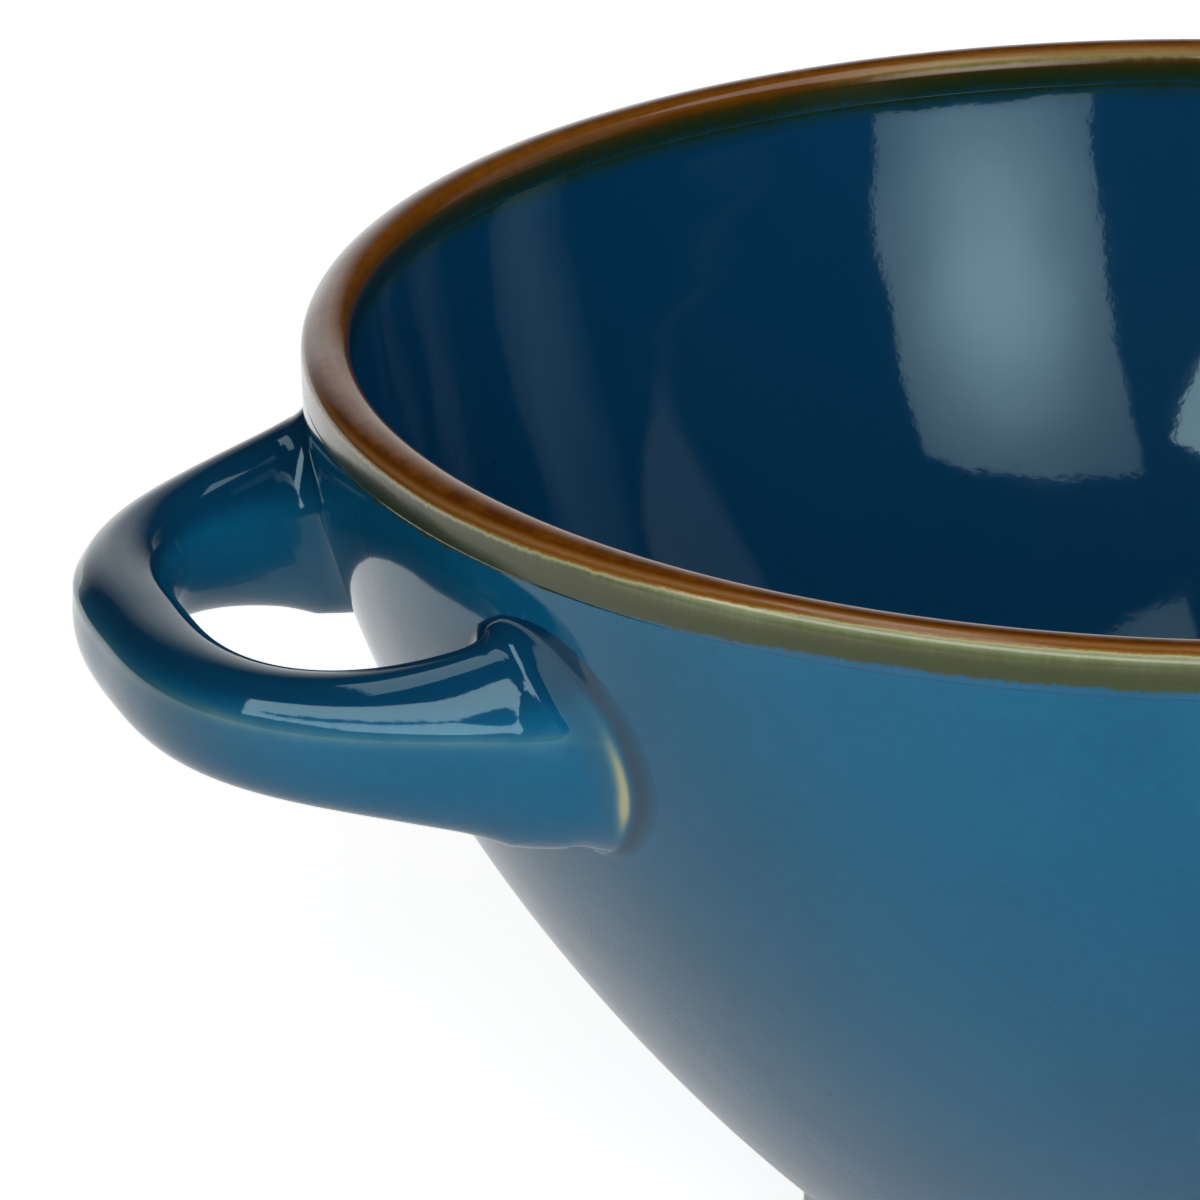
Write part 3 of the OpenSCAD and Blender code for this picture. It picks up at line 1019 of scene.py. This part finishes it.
def handle(name, side):
    """The closed skin over the rings, on one side of the bowl."""
    grid = np.arange(len(points)).reshape(-1, CORNERS)
    after = np.roll(grid, -1, axis=1)
    faces = np.stack([grid[:-1], after[:-1], after[1:], grid[1:]], -1).reshape(-1, 4).tolist()
    # Each end closes in a fan to a point inside the wall
    ends = [points[grid[0]].mean(0), points[grid[-1]].mean(0)]
    every = np.concatenate([points, ends]) * (side, 1, 1)
    last = len(points)
    faces += [(a, last, b) for a, b in zip(after[0].tolist(), grid[0].tolist())]
    faces += [(a, last + 1, b) for a, b in zip(grid[-1].tolist(), after[-1].tolist())]
    mesh = bpy.data.meshes.new(name)
    mesh.from_pydata(every.tolist(), [], faces)
    mesh.shade_smooth()
    for label, value in handle_glaze.items():
        kept = mesh.attributes.new(label, "FLOAT", "POINT")
        kept.data.foreach_set("value", np.append(value, [0, 0]).astype(np.float32))
    mesh.materials.append(blue_glaze)
    outward(mesh)
    return new_object(name, mesh)


right_lug = handle("right_lug", 1)
left_lug = handle("left_lug", -1)
print("lugs:", len(right_lug.data.polygons), "faces each")

# %% [markdown]
# ## Tying the pieces to the frame
# The imported model holds the same five pieces as plain solids. Each dressed piece takes the
# place of its solid and rides on the bowl, which is one body, because nothing on it moves.

# %% Ride and replace
for piece, stands_for, finish in (
    (body_skin, "bowl_body", "blue_glaze"),
    (lip_coat, "rim_glaze", "brown_glaze"),
    (foot_skin, "foot_ring", "bare_clay"),
    (right_lug, "right_handle", "blue_glaze"),
    (left_lug, "left_handle", "blue_glaze"),
):
    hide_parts(stands_for)
    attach(piece, "root")
    print(piece.name, "stands for", stands_for)

# %% [markdown]
# ## The camera
# The photograph is a close view through a long lens. Where the camera stands was found by
# matching the ellipse that the round lip makes in the picture, which also gives its tilt.

# %% Camera
from mathutils import Vector

LENS = 381.87
SENSOR = 36
CAMERA_AT = (-0.32066, -0.84371, 0.39054)
CAMERA_WAY = (0.286087, 0.891592, -0.351025)
lens = bpy.data.cameras.new("camera")
lens.lens = LENS
lens.sensor_width = SENSOR
camera = new_object("camera", lens)
camera.location = CAMERA_AT
camera.rotation_euler = Vector(CAMERA_WAY).to_track_quat("-Z", "Y").to_euler()
bpy.context.scene.camera = camera
CAMERA_AZ = math.atan2(camera.location.y, camera.location.x)
print("camera at", tuple(round(v, 3) for v in camera.location))

# %% [markdown]
# ## The studio
# A white table in a dark room, with a lit backdrop behind the bowl that fades upwards. Nothing
# shows what a glaze is like but what it mirrors, so the room is laid out by directions, as the
# glaze sees it. A picture of a real studio could surround the bowl in its place, but then
# nothing in it could be moved. The camera itself sees plain white behind the bowl.

# %% Table
TABLE = 0.75
TABLE_DROP = 0.05 * MM
PAPER_SEEN = 0.85
PAPER_DIM, PAPER_LIT = 0.14, 0.87
DIM_AT, LIT_AT = -0.05, 0.25
mesh = bpy.data.meshes.new("table_top")
corners = [(x * TABLE, y * TABLE, -TABLE_DROP) for x, y in ((-1, -1), (1, -1), (1, 1), (-1, 1))]
mesh.from_pydata(corners, [], [(0, 1, 2, 3)])
table_top = new_object("table_top", mesh)
paper, tree, shader = new_material("white_paper")
put(tree, shader, Base_Color=(0.8, 0.8, 0.8, 1), Roughness=1.0, Specular_IOR_Level=0.0)
path = tree.nodes.new("ShaderNodeLightPath")
# The glaze mirrors the paper a little brighter towards the back left, where the sweep is lit
spot = split(tree, object_place(tree))
leftwards = times(tree, spot["X"], -0.9)
behind = times_plus(tree, spot["Y"], 0.9, leftwards)
glow = spread(tree, behind, DIM_AT, LIT_AT, PAPER_DIM, PAPER_LIT)
mirrored = times(tree, path.outputs["Is Glossy Ray"], glow)
shown = times_plus(tree, path.outputs["Is Camera Ray"], PAPER_SEEN, mirrored)
put(tree, shader, Emission_Color=(1, 1, 1, 1), Emission_Strength=shown)
mesh.materials.append(paper)
print("table:", 2 * TABLE, "m square")

# %% Directions in the room


def between(tree, value, low, high, soft):
    """1 where a value lies between low and high, with soft ends."""
    rise = spread(tree, value, low - soft, low + soft)
    fall = spread(tree, value, high + soft, high - soft)
    return times(tree, rise, fall)


room = bpy.data.worlds.new("room")
bpy.context.scene.world = room
room.use_nodes = True
tree = room.node_tree
tree.nodes.clear()
looked = tree.nodes.new("ShaderNodeTexCoord").outputs["Generated"]
direction = node(tree, "ShaderNodeVectorMath", _0=looked)
direction.operation = "NORMALIZE"
turned = node(tree, "ShaderNodeVectorRotate", Vector=direction.outputs[0], Angle=math.pi - CAMERA_AZ)
turned.rotation_type = "Z_AXIS"
way = split(tree, turned.outputs[0])
height = maths(tree, "DEGREES", maths(tree, "ARCSINE", way["Z"]))
# Degrees round from straight behind the bowl: minus on the picture's right, plus on its left
round_back = maths(tree, "DEGREES", maths(tree, "ARCTAN2", way["Y"], way["X"]))
print("room: laid out from", round(math.degrees(CAMERA_AZ)), "degrees, where the camera stands")

# %% Light in the room
BACKDROP_LIGHT = 1.35
GROUND_LIGHT = 0.9
PANEL_LIGHT = 0.3
DARKEST = 0.02
FILL_LIGHT = 0.1
# In degrees: the backdrop behind the bowl, the ground, and a dim panel at the picture's right
BACKDROP_ROUND, BACKDROP_FADES = (-6, 28), (8, 40)
GROUND_UP = (-95, -4)
PANEL_ROUND, PANEL_UP = (-91, -54), (4, 48)
fading = spread(tree, height, *BACKDROP_FADES, 1.0, 0.0)
backdrop = times(tree, between(tree, round_back, *BACKDROP_ROUND, soft=10), fading)
backdrop = times(tree, backdrop, BACKDROP_LIGHT)
ground = times(tree, between(tree, height, *GROUND_UP, soft=1), GROUND_LIGHT)
aside = between(tree, round_back, *PANEL_ROUND, soft=1.5)
panel = times(tree, aside, between(tree, height, *PANEL_UP, soft=2))
light = maths(tree, "MAXIMUM", backdrop, ground)
light = times_plus(tree, panel, PANEL_LIGHT, light)
light = plus(tree, light, DARKEST)
path = tree.nodes.new("ShaderNodeLightPath")
mirrored = path.outputs["Is Glossy Ray"]
fill = times(tree, maths(tree, "SUBTRACT", 1.0, mirrored), FILL_LIGHT)
strength = times_plus(tree, mirrored, light, fill)
strength = maths(tree, "MAXIMUM", strength, path.outputs["Is Camera Ray"])
back = node(tree, "ShaderNodeBackground", Color=(1, 1, 1, 1), Strength=strength)
node(tree, "ShaderNodeOutputWorld", Surface=back.outputs[0])
print("room:", len(tree.nodes), "nodes")

# %% [markdown]
# ## The softboxes
# The glaze mirrors five of them: the square softbox at the right of the camera is the big pale
# shape inside the far wall, the long strip runs along the near arm of the handle, and the two
# overhead ones lie on the arms' tops. One set of lamps could do it all, but then no reflection
# could be set without changing the shading. So each lamp that the glaze mirrors gives no light
# on the clay, and a broad key light, which isn't mirrored, gives all of it.

# %% A softbox
AIM_Z = 0.05
FALLS_ACROSS, FALLS_UP = -1.5, -3.0


def softbox(name, side, height, wide, high, radiance, edge=1.0, slant=0.0):
    """A lamp a metre off, with its place in degrees round from the camera and up.

    Its light falls to the share named edge at its edges, and slant cuts a wedge off its top.
    """
    lamp = bpy.data.lights.new(name, "AREA")
    lamp.shape = "RECTANGLE"
    lamp.size, lamp.size_y = wide, high
    lamp.energy = radiance * math.pi * wide * high
    lamp.use_nodes = True
    tree = lamp.node_tree
    across = split(tree, tree.nodes.new("ShaderNodeNewGeometry").outputs["Parametric"])
    u, v = (times_plus(tree, across[axis], 2.0, -1.0) for axis in "XY")
    off = times(tree, times(tree, u, u), FALLS_ACROSS)
    off = times_plus(tree, times(tree, v, v), FALLS_UP, off)
    glow = times_plus(tree, maths(tree, "EXPONENT", off), 1.0 - edge, edge)
    kept = maths(tree, "LESS_THAN", times_plus(tree, u, slant, v), 1.0 - abs(slant))
    put(tree, tree.nodes["Emission"], Strength=times(tree, glow, kept))
    made = new_object(name, lamp)
    azimuth, height = CAMERA_AZ + math.radians(side), math.radians(height)
    flat = math.cos(height)
    toward = Vector((math.cos(azimuth) * flat, math.sin(azimuth) * flat, math.sin(height)))
    made.location = Vector((0, 0, AIM_Z)) + toward
    made.rotation_euler = (-toward).to_track_quat("-Z", "Y").to_euler()
    print(name + ":", wide, "x", high, "m, lit at", radiance)
    return made


# %% The lamps
fading_away = {"edge": 0.17, "slant": 0.2}
mirrored_boxes = (
    softbox("square_softbox", side=35.5, height=19, wide=0.56, high=0.94, radiance=5.6, **fading_away),
    softbox("strip_softbox", side=-34, height=40.5, wide=1.3, high=0.23, radiance=4.6),
    softbox("overhead_right", side=90, height=61, wide=0.65, high=0.42, radiance=2.1),
    softbox("overhead_left", side=-90, height=71, wide=0.6, high=0.22, radiance=2.2),
    softbox("far_softbox", side=28, height=56, wide=0.4, high=0.09, radiance=1.0),
)
for box in mirrored_boxes:
    box.visible_diffuse = False
key = softbox("key_light", side=10, height=26, wide=0.8, high=0.8, radiance=4.8)
key.visible_glossy = False

# %% [markdown]
# ## The picture
# The glaze's colours were set against the photograph, so the picture shows them as they
# are, without the film-like curve that would grey the blue.

# %% Picture settings
bpy.context.scene.view_settings.view_transform = "Standard"
print("view:", bpy.context.scene.view_settings.view_transform)
